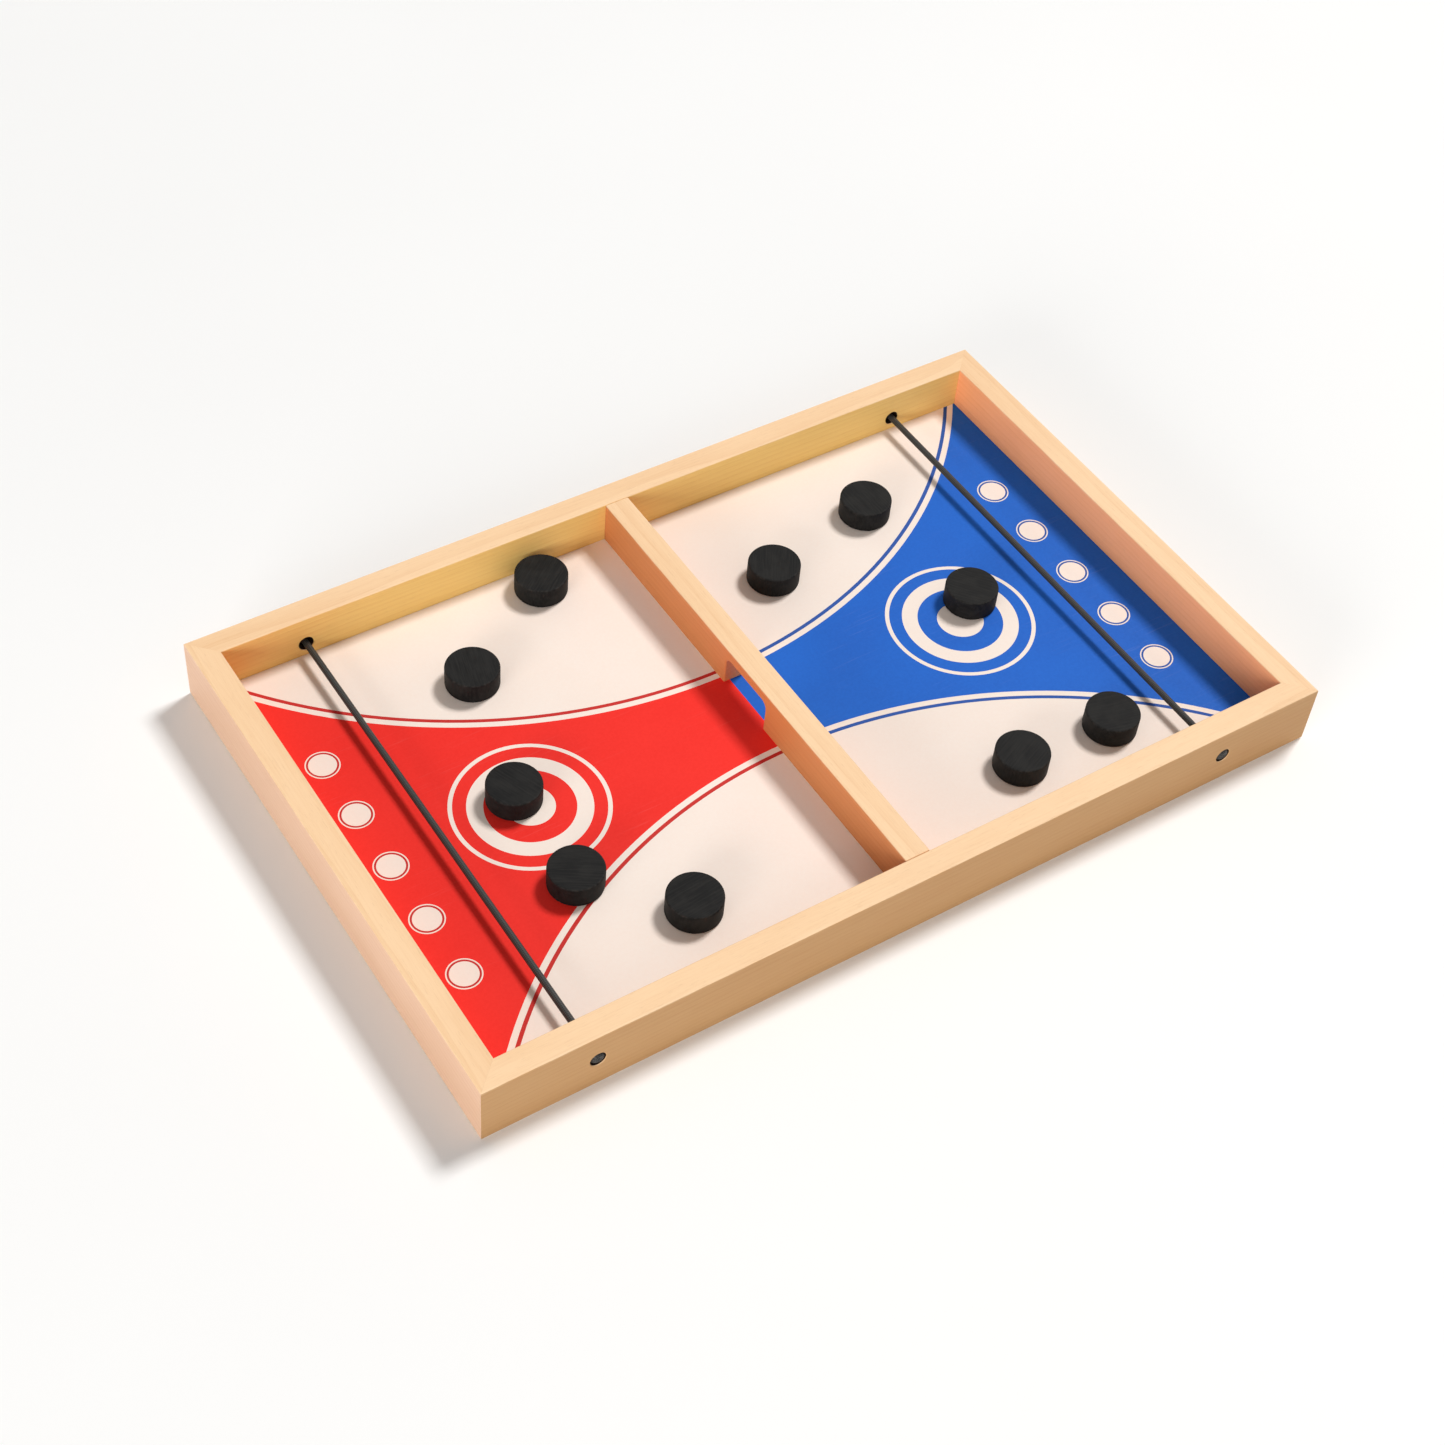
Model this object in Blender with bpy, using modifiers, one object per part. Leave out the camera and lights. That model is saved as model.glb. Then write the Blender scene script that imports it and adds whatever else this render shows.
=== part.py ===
"""A wooden sling puck game: a shallow tray, a divider with a gate, two elastic slings and ten pucks.

Metres, +Z up. The origin is the middle of the tray's underside. X runs along the tray, from the red
half (-X) to the blue half (+X), and Y runs across it, from the front rail (-Y) to the back rail (+Y).
"""

from math import copysign, cos, pi, radians, sin, sqrt

import bmesh
import bpy
from mathutils import Matrix, Vector

# Tray
LENGTH = 0.350
WIDTH = 0.220
HEIGHT = 0.026
RAIL = 0.010
EDGE = 0.0004
GAP = 0.0003
COURT_TOP = 0.008
SHEET = 0.0004
PANEL = 0.003
PANEL_GRIP = 0.004

# Divider and its gate
DIVIDER = 0.010
GATE_WIDTH = 0.0264
GATE_TOP = 0.0214
GATE_CORNER = 0.003

# Fasteners
SCREW_PLACES = (-0.080, -0.035, 0.035, 0.080)
SCREW_SHANK = 0.0024
SCREW_HEAD = 0.0044
SCREW_CONE = 0.0013
SCREW_LENGTH = 0.011
SCREW_POINT = 0.002
RECESS_LENGTH = 0.0022
RECESS_WIDTH = 0.0005
RECESS_DEPTH = 0.0007
NAIL_LEG = 0.007
NAIL_THICK = 0.0006
NAIL_HEIGHT = 0.009
NAIL_INSET = 0.0029

# Slings
SLING_X = 0.132
SLING_Z = 0.0135
CORD = 0.0025
SLING_MIDDLE = 0.020
SLING_PULL = 0.026
TAIL_SPARE = 0.0006
KNEE_GAP = 0.0003
MOUTH = 0.0060
MOUTH_SPARE = 0.0005
COUNTERBORE = 0.0060
COUNTERBORE_DEPTH = 0.0031
STOP = 0.0052
STOP_ROUND = 0.0006

# Pucks
PUCK = 0.0205
PUCK_HEIGHT = 0.0085
PUCK_EDGE = 0.0006
RED_PUCKS = (
    (-0.040, 0.088),
    (-0.086, 0.058),
    (-0.100, 0.002),
    (-0.100, -0.041),
    (-0.071, -0.071),
)
BLUE_PUCKS = (
    (0.041, 0.050),
    (0.093, 0.063),
    (0.101, 0.003),
    (0.108, -0.075),
    (0.067, -0.074),
)

# Fineness of round shapes
PUCK_SIDES = 48
TURNED_STEPS = 20
CORNER_STEPS = 5

# Sizes that follow from the ones above
SHEET_BOTTOM = COURT_TOP - SHEET
PANEL_TOP = SHEET_BOTTOM - GAP
PANEL_BOTTOM = PANEL_TOP - PANEL
GROOVE_LOW = PANEL_BOTTOM - GAP
GROOVE_HIGH = PANEL_TOP + GAP
GROOVE_DEPTH = PANEL_GRIP + GAP
INNER_LENGTH = LENGTH - 2 * RAIL
INNER_WIDTH = WIDTH - 2 * RAIL
MITRE_SHORT = GAP / sqrt(2)
DIVIDER_BOTTOM = COURT_TOP + GAP
KNEE_Y = SLING_MIDDLE / 2
RUN_REACH = INNER_WIDTH / 2 - KNEE_Y
RUN_TAIL = sqrt(RUN_REACH**2 + SLING_PULL**2) - RUN_REACH + TAIL_SPARE
MOUTH_DEPTH = RUN_TAIL + MOUTH_SPARE
BORE = CORD + 2 * GAP
SCREW_BOTTOM = PANEL_BOTTOM + GAP


def start_empty():
    """Clears the scene and makes one collection for the game and one for its cutters."""
    for obj in list(bpy.data.objects):
        bpy.data.objects.remove(obj)
    made = []
    for name in ("sling_puck_game", "cutters"):
        collection = bpy.data.collections.new(name)
        bpy.context.scene.collection.children.link(collection)
        made.append(collection)
    return made


def finish(name, colour, roughness, metallic=0.0):
    material = bpy.data.materials.new(name)
    material.use_nodes = True
    shader = material.node_tree.nodes["Principled BSDF"]
    shader.inputs["Base Color"].default_value = (*colour, 1.0)
    shader.inputs["Roughness"].default_value = roughness
    shader.inputs["Metallic"].default_value = metallic
    material.diffuse_color = (*colour, 1.0)
    return material


def add_piece(name, data, material):
    """Links a new named part of the game, with its own material."""
    obj = bpy.data.objects.new(name, data)
    data.materials.clear()
    data.materials.append(material)
    GAME.objects.link(obj)
    return obj


def add_cutter(name, data):
    obj = bpy.data.objects.new(name, data)
    obj.hide_render = True
    obj.display_type = "WIRE"
    CUTTERS.objects.link(obj)
    return obj


def cut(target, cutter):
    change = target.modifiers.new(cutter.name, "BOOLEAN")
    change.operation = "DIFFERENCE"
    change.solver = "EXACT"
    change.object = cutter


def block_mesh(name, low, high):
    """A box between two corners."""
    shape = bmesh.new()
    bmesh.ops.create_cube(shape, size=1.0)
    low, high = Vector(low), Vector(high)
    middle = Matrix.Translation((low + high) / 2)
    bmesh.ops.transform(shape, matrix=middle @ Matrix.Diagonal((*(high - low), 1.0)), verts=shape.verts)
    mesh = bpy.data.meshes.new(name)
    shape.to_mesh(mesh)
    shape.free()
    return mesh


def outline_mesh(name, points, thickness):
    """A flat closed outline in X and Y, as thick along Z as stated, with its middle at z = 0."""
    curve = bpy.data.curves.new(name, "CURVE")
    curve.dimensions = "2D"
    curve.fill_mode = "BOTH"
    curve.extrude = thickness / 2
    spline = curve.splines.new("POLY")
    spline.points.add(len(points) - 1)
    for point, (x, y) in zip(spline.points, points):
        point.co = (x, y, 0.0, 1.0)
    spline.use_cyclic_u = True
    return mesh_of_curve(name, curve)


def mesh_of_curve(name, curve):
    """The mesh that a curve makes, with its caps welded on."""
    helper = bpy.data.objects.new(name + "_outline", curve)
    bpy.context.scene.collection.objects.link(helper)
    graph = bpy.context.evaluated_depsgraph_get()
    mesh = bpy.data.meshes.new_from_object(helper.evaluated_get(graph))
    mesh.name = name
    bpy.data.objects.remove(helper)
    shape = bmesh.new()
    shape.from_mesh(mesh)
    bmesh.ops.remove_doubles(shape, verts=shape.verts, dist=1e-6)
    bmesh.ops.recalc_face_normals(shape, faces=shape.faces)
    shape.to_mesh(mesh)
    shape.free()
    return mesh


def turned_object(add, name, profile, *material):
    """A shape turned about Z from (radius, height) points, from its top end to its bottom end."""
    mesh = bpy.data.meshes.new(name)
    points = [(radius, 0.0, height) for radius, height in profile]
    edges = [(first, first + 1) for first in range(len(points) - 1)]
    mesh.from_pydata(points, edges, [])
    obj = add(name, mesh, *material)
    turn = obj.modifiers.new("turn", "SCREW")
    turn.steps = TURNED_STEPS
    turn.render_steps = TURNED_STEPS
    turn.use_merge_vertices = True
    turn.merge_threshold = 1e-6
    return obj


def joined_copies(name, mesh, placements):
    """One mesh that holds a copy of another at each placement, as separate solids."""
    shape = bmesh.new()
    for placement in placements:
        placed = mesh.copy()
        placed.transform(placement)
        shape.from_mesh(placed)
        bpy.data.meshes.remove(placed)
    joined = bpy.data.meshes.new(name)
    shape.to_mesh(joined)
    shape.free()
    return joined


def baked(obj):
    """The mesh of an object with its modifiers applied. The object is removed."""
    graph = bpy.context.evaluated_depsgraph_get()
    mesh = bpy.data.meshes.new_from_object(obj.evaluated_get(graph))
    bpy.data.objects.remove(obj)
    return mesh


def rail_mesh(name, length):
    """A mitred rail along X, with its outer face at y = 0 and the panel's groove in its inner face."""
    inner = RAIL - GROOVE_DEPTH
    section = [
        (EDGE, 0.0),
        (RAIL - EDGE, 0.0),
        (RAIL, EDGE),
        (RAIL, GROOVE_LOW),
        (inner, GROOVE_LOW),
        (inner, GROOVE_HIGH),
        (RAIL, GROOVE_HIGH),
        (RAIL, HEIGHT - EDGE),
        (RAIL - EDGE, HEIGHT),
        (EDGE, HEIGHT),
        (0.0, HEIGHT - EDGE),
        (0.0, EDGE),
    ]
    mesh = outline_mesh(name, section, length)
    mesh.transform(Matrix(((0, 0, 1, 0), (1, 0, 0, 0), (0, 1, 0, 0), (0, 0, 0, 1))))
    for vertex in mesh.vertices:
        half = length / 2 - MITRE_SHORT - vertex.co.y
        vertex.co.x = copysign(half, vertex.co.x)
    return mesh


def sling_hole_cutter(name, x, side):
    """A sling's stepped hole: a wide mouth inside, a narrow bore, and a counterbore outside."""
    reach = RAIL + 2 * EDGE
    profile = [
        (0.0, reach),
        (MOUTH / 2, reach),
        (MOUTH / 2, RAIL - MOUTH_DEPTH),
        (BORE / 2, RAIL - MOUTH_DEPTH),
        (BORE / 2, COUNTERBORE_DEPTH),
        (COUNTERBORE / 2, COUNTERBORE_DEPTH),
        (COUNTERBORE / 2, -2 * EDGE),
        (0.0, -2 * EDGE),
    ]
    cutter = turned_object(add_cutter, name, profile)
    cutter.location = (x, side * WIDTH / 2, SLING_Z)
    cutter.rotation_euler = (radians(90) * side, 0.0, 0.0)
    return cutter


def nail_outline(spare):
    """An L with equal legs along -X and -Y from its outer corner, grown all round by a spare width."""
    legs = NAIL_LEG + spare
    thick = NAIL_THICK + spare
    return [
        (spare, spare),
        (-legs, spare),
        (-legs, -thick),
        (-thick, -thick),
        (-thick, -legs),
        (spare, -legs),
    ]


def corner_places():
    """Each corner's name, its nail's place, and the turn that lays the nail's legs in the rails."""
    reach_x = LENGTH / 2 - NAIL_INSET + NAIL_THICK / 2
    reach_y = WIDTH / 2 - NAIL_INSET + NAIL_THICK / 2
    return (
        ("right_back", (reach_x, reach_y), 0.0),
        ("left_back", (-reach_x, reach_y), pi / 2),
        ("left_front", (-reach_x, -reach_y), pi),
        ("right_front", (reach_x, -reach_y), -pi / 2),
    )


def make_corner_nails():
    """A steel nail driven from below into both rails of each mitre, and the slots they need."""
    nail = outline_mesh("corner_nail", nail_outline(0.0), NAIL_HEIGHT)
    nail.materials.clear()
    nail.materials.append(STEEL)
    nail_middle = GAP + NAIL_HEIGHT / 2
    slot_top = NAIL_HEIGHT + 2 * GAP
    slot_bottom = -2 * GAP
    slot = outline_mesh("corner_nail_slot", nail_outline(GAP), slot_top - slot_bottom)
    placements = []
    for corner, (x, y), turn in corner_places():
        obj = bpy.data.objects.new(f"{corner}_corner_nail", nail)
        obj.location = (x, y, nail_middle)
        obj.rotation_euler = (0.0, 0.0, turn)
        GAME.objects.link(obj)
        placed = Matrix.Translation((x, y, (slot_top + slot_bottom) / 2))
        placements.append(placed @ Matrix.Rotation(turn, 4, "Z"))
    return add_cutter("corner_nail_slots", joined_copies("corner_nail_slots", slot, placements))


def make_rails(nail_slots):
    """Two long rails with the slings' holes and two end rails, mitred at the corners."""
    places = (
        ("front_rail", LENGTH, (0.0, -WIDTH / 2, 0.0), 0),
        ("back_rail", LENGTH, (0.0, WIDTH / 2, 0.0), 180),
        ("left_end_rail", WIDTH, (-LENGTH / 2, 0.0, 0.0), -90),
        ("right_end_rail", WIDTH, (LENGTH / 2, 0.0, 0.0), 90),
    )
    for name, length, location, turn in places:
        rail = add_piece(name, rail_mesh(name, length), RAIL_WOOD)
        rail.location = location
        rail.rotation_euler = (0.0, 0.0, radians(turn))
        cut(rail, nail_slots)
        if length < LENGTH:
            continue
        side = copysign(1.0, location[1])
        for end, x in (("left", -SLING_X), ("right", SLING_X)):
            cut(rail, sling_hole_cutter(f"{end}_{name}_hole", x, side))


def screw_mesh(top, shoulder):
    """A countersunk screw with its head down, its middle on Z, and a cross recess in the head."""
    profile = [
        (0.0, top),
        (SCREW_SHANK / 2, top - SCREW_POINT),
        (SCREW_SHANK / 2, shoulder),
        (SCREW_HEAD / 2, SCREW_BOTTOM),
        (0.0, SCREW_BOTTOM),
    ]
    blank = turned_object(add_cutter, "screw_blank", profile)
    recesses = (
        ("recess_along", RECESS_LENGTH / 2, RECESS_WIDTH / 2),
        ("recess_across", RECESS_WIDTH / 2, RECESS_LENGTH / 2),
    )
    for name, half_x, half_y in recesses:
        low = (-half_x, -half_y, SCREW_BOTTOM - RECESS_DEPTH)
        high = (half_x, half_y, SCREW_BOTTOM + RECESS_DEPTH)
        cut(blank, add_cutter(name, block_mesh(name, low, high)))
    return baked(blank)


def make_screws():
    """Countersunk screws, driven from below into the divider, and the holes they need."""
    top = SCREW_BOTTOM + SCREW_LENGTH
    shoulder = SCREW_BOTTOM + SCREW_CONE
    mesh = screw_mesh(top, shoulder)
    mesh.materials.append(STEEL)
    for number, y in enumerate(SCREW_PLACES, start=1):
        screw = bpy.data.objects.new(f"divider_screw_{number}", mesh)
        screw.location = (0.0, y, 0.0)
        GAME.objects.link(screw)
    hole = [
        (0.0, top + GAP),
        (SCREW_SHANK / 2 + GAP, top + GAP),
        (SCREW_SHANK / 2 + GAP, shoulder + GAP),
        (SCREW_HEAD / 2 + GAP, SCREW_BOTTOM),
        (SCREW_HEAD / 2 + GAP, PANEL_BOTTOM - GAP),
        (0.0, PANEL_BOTTOM - GAP),
    ]
    places = [Matrix.Translation((0.0, y, 0.0)) for y in SCREW_PLACES]
    one_hole = baked(turned_object(add_cutter, "screw_hole", hole))
    return add_cutter("screw_holes", joined_copies("screw_holes", one_hole, places))


def make_floor(screw_holes):
    """The panel held in the rails' grooves, and the printed sheet that covers the court."""
    half_x = INNER_LENGTH / 2 + PANEL_GRIP
    half_y = INNER_WIDTH / 2 + PANEL_GRIP
    mesh = block_mesh("base_panel", (-half_x, -half_y, PANEL_BOTTOM), (half_x, half_y, PANEL_TOP))
    cut(add_piece("base_panel", mesh, HARDBOARD), screw_holes)
    half_x = INNER_LENGTH / 2 - GAP
    half_y = INNER_WIDTH / 2 - GAP
    mesh = block_mesh("court_sheet", (-half_x, -half_y, SHEET_BOTTOM), (half_x, half_y, COURT_TOP))
    cut(add_piece("court_sheet", mesh, PRINTED_SHEET), screw_holes)


def gate_corner(centre_y, centre_z, start):
    """A quarter turn of the gate's rounded upper corner, from an angle in degrees."""
    for step in range(CORNER_STEPS + 1):
        angle = radians(start + 90 * step / CORNER_STEPS)
        yield (centre_y + GATE_CORNER * cos(angle), centre_z + GATE_CORNER * sin(angle))


def make_divider(screw_holes):
    """The bar across the middle, seen along X as one outline that the gate is open to from below."""
    half = INNER_WIDTH / 2 - GAP
    gate = GATE_WIDTH / 2
    arc_y = gate - GATE_CORNER
    arc_z = GATE_TOP - GATE_CORNER
    outline = [
        (half, HEIGHT),
        (-half, HEIGHT),
        (-half, DIVIDER_BOTTOM),
        (-gate, DIVIDER_BOTTOM),
        *reversed(list(gate_corner(-arc_y, arc_z, 90))),
        *reversed(list(gate_corner(arc_y, arc_z, 0))),
        (gate, DIVIDER_BOTTOM),
        (half, DIVIDER_BOTTOM),
    ]
    mesh = outline_mesh("centre_divider", outline, DIVIDER)
    mesh.transform(Matrix(((0, 0, 1, 0), (1, 0, 0, 0), (0, 1, 0, 0), (0, 0, 0, 1))))
    cut(add_piece("centre_divider", mesh, DIVIDER_WOOD), screw_holes)


def cord_curve(name, start, end):
    """A straight length of cord along Y, with closed ends."""
    curve = bpy.data.curves.new(name, "CURVE")
    curve.dimensions = "3D"
    curve.bevel_depth = CORD / 2
    curve.bevel_resolution = 4
    curve.use_fill_caps = True
    spline = curve.splines.new("POLY")
    spline.points.add(1)
    spline.points[0].co = (0.0, start, 0.0, 1.0)
    spline.points[1].co = (0.0, end, 0.0, 1.0)
    return curve


def make_stop(name, x, side):
    """The end of the cord in its bore, with the knot that holds it in the counterbore outside."""
    bore_start = RAIL - MOUTH_DEPTH
    knot_start = COUNTERBORE_DEPTH - GAP
    profile = [
        (0.0, bore_start),
        (CORD / 2, bore_start),
        (CORD / 2, knot_start),
        (STOP / 2 - STOP_ROUND, knot_start),
        (STOP / 2, knot_start - STOP_ROUND),
        (STOP / 2, GAP + STOP_ROUND),
        (STOP / 2 - STOP_ROUND, GAP),
        (0.0, GAP),
    ]
    stop = turned_object(add_piece, name, profile, KNOT)
    stop.location = (x, side * WIDTH / 2, SLING_Z)
    stop.rotation_euler = (radians(90) * side, 0.0, 0.0)


def make_sling(end, x):
    """An elastic cord across one end: a middle length that is drawn back, and a run to each rail.

    Each run's origin is the knee where it meets the middle length. Its tail reaches into the hole in the
    rail, and slides there as the middle is drawn back.
    """
    middle_name = f"{end}_sling_middle"
    half = SLING_MIDDLE / 2 - KNEE_GAP
    middle = add_piece(middle_name, cord_curve(middle_name, -half, half), ELASTIC)
    middle.location = (x, 0.0, SLING_Z)
    for side_name, side in (("back", 1.0), ("front", -1.0)):
        run_name = f"{end}_sling_{side_name}_run"
        curve = cord_curve(run_name, side * KNEE_GAP, side * (RUN_REACH + RUN_TAIL))
        run = add_piece(run_name, curve, ELASTIC)
        run.parent = middle
        run.location = (0.0, side * KNEE_Y, 0.0)
        make_stop(f"{end}_sling_{side_name}_stop", x, side)


def puck_mesh():
    """A flat disc with eased rims."""
    shape = bmesh.new()
    bmesh.ops.create_cone(
        shape, cap_ends=True, segments=PUCK_SIDES, radius1=PUCK / 2, radius2=PUCK / 2, depth=PUCK_HEIGHT
    )
    mesh = bpy.data.meshes.new("puck")
    shape.to_mesh(mesh)
    shape.free()
    mesh.shade_smooth()
    mesh.set_sharp_from_angle(angle=radians(30))
    mesh.materials.append(PUCK_WOOD)
    return mesh


def make_pucks():
    """Five pucks in each half. All share one mesh, and stand on the court."""
    mesh = puck_mesh()
    middle = COURT_TOP + GAP + PUCK_HEIGHT / 2
    for team, places in (("red_half", RED_PUCKS), ("blue_half", BLUE_PUCKS)):
        for number, (x, y) in enumerate(places, start=1):
            puck = bpy.data.objects.new(f"{team}_puck_{number}", mesh)
            puck.location = (x, y, middle)
            rim = puck.modifiers.new("eased_rim", "BEVEL")
            rim.width = PUCK_EDGE
            rim.segments = 2
            rim.limit_method = "ANGLE"
            rim.angle_limit = radians(60)
            GAME.objects.link(puck)


GAME, CUTTERS = start_empty()
RAIL_WOOD = finish("pale_wood", (0.80, 0.58, 0.33), 0.55)
DIVIDER_WOOD = finish("pale_divider_wood", (0.80, 0.58, 0.33), 0.55)
HARDBOARD = finish("hardboard", (0.42, 0.27, 0.15), 0.75)
PRINTED_SHEET = finish("printed_sheet", (0.93, 0.82, 0.70), 0.45)
STEEL = finish("zinc_plated_steel", (0.62, 0.62, 0.60), 0.35, metallic=1.0)
ELASTIC = finish("elastic_cord", (0.020, 0.019, 0.018), 0.60)
KNOT = finish("knotted_cord_end", (0.030, 0.030, 0.032), 0.70)
PUCK_WOOD = finish("black_stained_wood", (0.018, 0.017, 0.017), 0.60)

make_rails(make_corner_nails())
SCREW_HOLES = make_screws()
make_floor(SCREW_HOLES)
make_divider(SCREW_HOLES)
make_sling("left", -SLING_X)
make_sling("right", SLING_X)
make_pucks()
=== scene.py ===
from math import asin, copysign, cos, hypot, pi, radians, sin, tan

import bmesh
import bpy
from mathutils import Matrix, Vector
from mathutils.geometry import delaunay_2d_cdt


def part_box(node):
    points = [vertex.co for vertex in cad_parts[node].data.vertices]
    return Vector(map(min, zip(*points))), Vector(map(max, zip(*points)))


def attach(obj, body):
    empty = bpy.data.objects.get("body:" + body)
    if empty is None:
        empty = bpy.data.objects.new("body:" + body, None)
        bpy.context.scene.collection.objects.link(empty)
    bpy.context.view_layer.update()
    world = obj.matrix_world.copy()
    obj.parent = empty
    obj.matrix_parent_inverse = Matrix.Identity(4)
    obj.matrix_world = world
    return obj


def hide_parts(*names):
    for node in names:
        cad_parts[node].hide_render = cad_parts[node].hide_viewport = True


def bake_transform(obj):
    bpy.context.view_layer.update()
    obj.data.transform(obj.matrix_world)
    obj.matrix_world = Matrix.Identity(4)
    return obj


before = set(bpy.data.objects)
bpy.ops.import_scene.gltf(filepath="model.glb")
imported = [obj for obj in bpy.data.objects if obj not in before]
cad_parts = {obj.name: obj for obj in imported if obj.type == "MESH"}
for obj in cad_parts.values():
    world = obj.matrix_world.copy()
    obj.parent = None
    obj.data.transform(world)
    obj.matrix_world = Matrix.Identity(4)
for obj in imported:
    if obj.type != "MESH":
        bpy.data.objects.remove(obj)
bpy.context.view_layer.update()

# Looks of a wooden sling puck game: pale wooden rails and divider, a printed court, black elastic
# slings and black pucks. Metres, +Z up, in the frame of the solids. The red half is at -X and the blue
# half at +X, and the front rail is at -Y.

MM = 0.001

# Camera, at the photograph's viewing angle
IMAGE_SIDE = 1445
FOCAL_PIXELS = 2435
SENSOR = 36.0
CAMERA_AZIMUTH = radians(-36.88)
CAMERA_ELEVATION = radians(48.05)
CAMERA_ROLL = radians(5.78)
CAMERA_DISTANCE = 0.9026
CAMERA_RIGHT = -0.01122
CAMERA_UP = -0.00271

# Sizes read from the solids
RAIL_LOW, RAIL_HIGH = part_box("front_rail")
LENGTH = RAIL_HIGH.x - RAIL_LOW.x
HEIGHT = RAIL_HIGH.z
RAIL = RAIL_HIGH.y - RAIL_LOW.y
WIDTH = -2 * RAIL_LOW.y
INNER_LENGTH = LENGTH - 2 * RAIL
INNER_WIDTH = WIDTH - 2 * RAIL
SHEET_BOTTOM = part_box("court_sheet")[0].z
COURT_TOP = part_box("court_sheet")[1].z
PANEL_LOW, PANEL_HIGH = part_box("base_panel")
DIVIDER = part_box("centre_divider")[1].x * 2
CORD_LOW, CORD_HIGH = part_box("left_sling_middle")
CORD = CORD_HIGH.z - CORD_LOW.z
SLING_X = -(CORD_HIGH.x + CORD_LOW.x) / 2
SLING_Z = (CORD_HIGH.z + CORD_LOW.z) / 2
RUN_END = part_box("left_sling_back_run")[1].y

# Sizes that the solids hold as shapes, repeated here
GATE_WIDTH = 26.4 * MM
GATE_TOP = 21.4 * MM
GATE_CORNER = 3.0 * MM
MOUTH = 6.0 * MM
MOUTH_DEPTH = 4.8 * MM
BORE = 3.1 * MM
COUNTERBORE = 6.0 * MM
COUNTERBORE_DEPTH = 3.1 * MM
NAIL_THICK = 0.6 * MM

# Knots. The turns rise from low to high, measured outwards from the rail's outer face. They open to their
# full radius by one share of their length, and from another on the end is tucked in towards the middle
KNOT_CORD = 2.3 * MM
KNOT_RADIUS = 1.5 * MM
KNOT_TURNS = 1.55
KNOT_LOW = -1.95 * MM
KNOT_HIGH = -0.6 * MM
KNOT_OPEN_BY = 0.2
KNOT_TUCK_FROM = 0.7
KNOT_TUCK = 0.75
KNOT_ENTRY = 0.3 * MM
KNOT_END_ROUND = 0.3 * MM
KNOT_STEPS = 40
KNOT_SIDES = 16

CORNERS = ("left_back", "left_front", "right_back", "right_front")

# Fine shapes
FIT = 0.02 * MM
NAIL_FIT = 0.12 * MM
WOOD_EDGE = 0.5 * MM
MOUTH_EASE = 0.25 * MM
ROUND_STEPS = 4
HOLE_SIDES = 32
SMOOTH_ANGLE = radians(35)
BEVEL_ANGLE = radians(50)

# Cords: their length is drawn in short steps
CORD_STEP = 1 * MM
CORD_SIDES = 20

# Pucks. Each stands on the court, and its top is where the solid's is
PUCK_LOW, PUCK_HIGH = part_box("red_half_puck_1")
PUCK_RADIUS = (PUCK_HIGH.x - PUCK_LOW.x) / 2
PUCK_HALF_HEIGHT = (PUCK_HIGH.z - COURT_TOP - FIT) / 2
PUCK_MIDDLE = PUCK_HIGH.z - PUCK_HALF_HEIGHT
PUCK_EASE = 0.7 * MM
PUCK_SIDES = 64
PUCKS_EACH = 5

# How far each puck's grain is turned from the last one's, and the blue ones' from the red ones', in degrees
PUCK_TURN = 37
BLUE_PUCK_TURN = 18

# Wood grain
YEAR_RING = 2.3 * MM
RING_WAVER = 4.2 * MM
HEART_DEPTH = 18 * MM
EDGE_WEAR = 0.9 * MM

# Court print, in millimetres, from its own middle, which lies a little off the middle of the tray
PRINT_MIDDLE = (-2.2, -3.4)
ARC_CENTRE_Y = 226.0
ARC_RADIUS = 206.6
ARC_GAP = 2.3
ARC_LINE = 1.5
ARC_STEPS = 72
PRINT_OVERRUN = 5.0
SPOT_X = 149.0
SPOT_STEP = 26.1
SPOTS_EACH_WAY = 2
SPOT_RADII = (5.1, 5.85, 6.35)
SPOT_STEPS = 40
TARGET_X = 94.3
TARGET_RADII = (9.0, 16.5, 22.5, 27.4, 29.0)
TARGET_STEPS = 96
SAME_POINT = 1e-4


def to_linear(*screen_values):
    """A colour given as screen values from 0 to 255, as linear light."""
    linear = []
    for value in screen_values:
        share = value / 255
        linear.append(share / 12.92 if share <= 0.04045 else ((share + 0.055) / 1.055) ** 2.4)
    return tuple(linear)


# Colours. The wood's tops are pale. Its upright faces carry painted light and shade: each face's tone is
# made darker or lighter, and redder or yellower, to stand for the light that falls on it
PALE_WOOD = to_linear(251, 213, 169)
SIDE_PAINTED_SHADING = to_linear(236, 190, 142)
FRONT_PAINTED_SHADING = to_linear(200, 155, 104)
LEFT_PAINTED_SHADING = to_linear(221, 183, 155)
BACK_INNER_PAINTED_SHADING = to_linear(255, 216, 130)
RIGHT_INNER_PAINTED_SHADING = to_linear(255, 178, 128)
# The divider's blue side is painted lighter, and its red side is painted in shade
DIVIDER_BLUE_PAINTED_SHADING = to_linear(228, 160, 104)
DIVIDER_RED_PAINTED_SHADING = to_linear(209, 135, 82)
DEEPENING = (0.78, 0.60, 0.42)
CREAM = to_linear(253, 239, 228)
RED = to_linear(250, 52, 43)
BLUE = to_linear(32, 106, 208)
RUBBED_INK = (0.92, 0.88, 0.84)
FLOOR = to_linear(247, 247, 246)
FLOOR_CLOUD = to_linear(249, 249, 248)
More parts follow.
